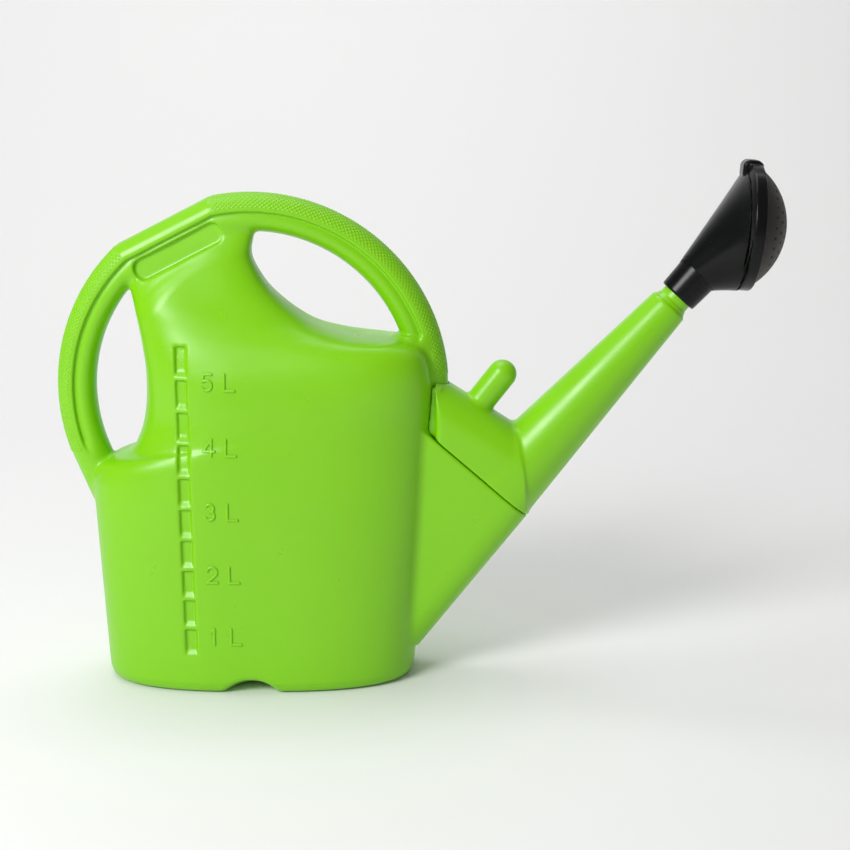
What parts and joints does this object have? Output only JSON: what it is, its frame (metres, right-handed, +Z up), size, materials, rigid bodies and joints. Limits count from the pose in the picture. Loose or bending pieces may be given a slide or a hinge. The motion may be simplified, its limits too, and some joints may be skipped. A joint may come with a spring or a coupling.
{
  "type": "watering can",
  "caption": "Flat-sided blow-moulded watering can with a ring-shaped handle, a litre scale, a long spout with a storage peg, and a removable domed spray rose.",
  "frame": {"origin": "middle of the can's base, on the ground, halfway between the front and rear walls and on the plane of symmetry", "axes": "+X runs forward from the rear handle to the spout and rose, +Z is up, +Y is away from the side that carries the litre scale"},
  "size_m": [0.5251, 0.1198, 0.3789],
  "materials": {
    "can_green": "satin moulded lime green polyethylene",
    "grip_green": "fine diamond knurl in the same green",
    "rose_black": "satin black",
    "seal_rubber": "soft black"
  },
  "bodies": {
    "can": {"tank": "can_green", "handle_bridge": "can_green", "rear_handle": "can_green", "front_handle": "can_green", "rear_grip": "grip_green", "front_grip": "grip_green", "litre_marks": "can_green", "spout_root": "can_green", "spout_block": "can_green", "spout_cone": "can_green", "spout_tip": "can_green", "rose_peg": "can_green"},
    "seal": {"rose_seal": "seal_rubber"},
    "rose": {"rose_socket": "rose_black", "rose_hood": "rose_black", "rose_rim": "rose_black", "rose_face": "rose_black"}
  },
  "joints": [
    {"name": "rose_pull", "type": "slide", "parent": "can", "child": "seal", "axis": [0.6678, 0, 0.7443], "range_m": [0, 0.05]},
    {"name": "rose_turn", "type": "hinge", "parent": "seal", "child": "rose", "pos_m": [0.2985, 0, 0.2758], "axis": [0.6678, 0, 0.7443], "continuous": true}
  ]
}
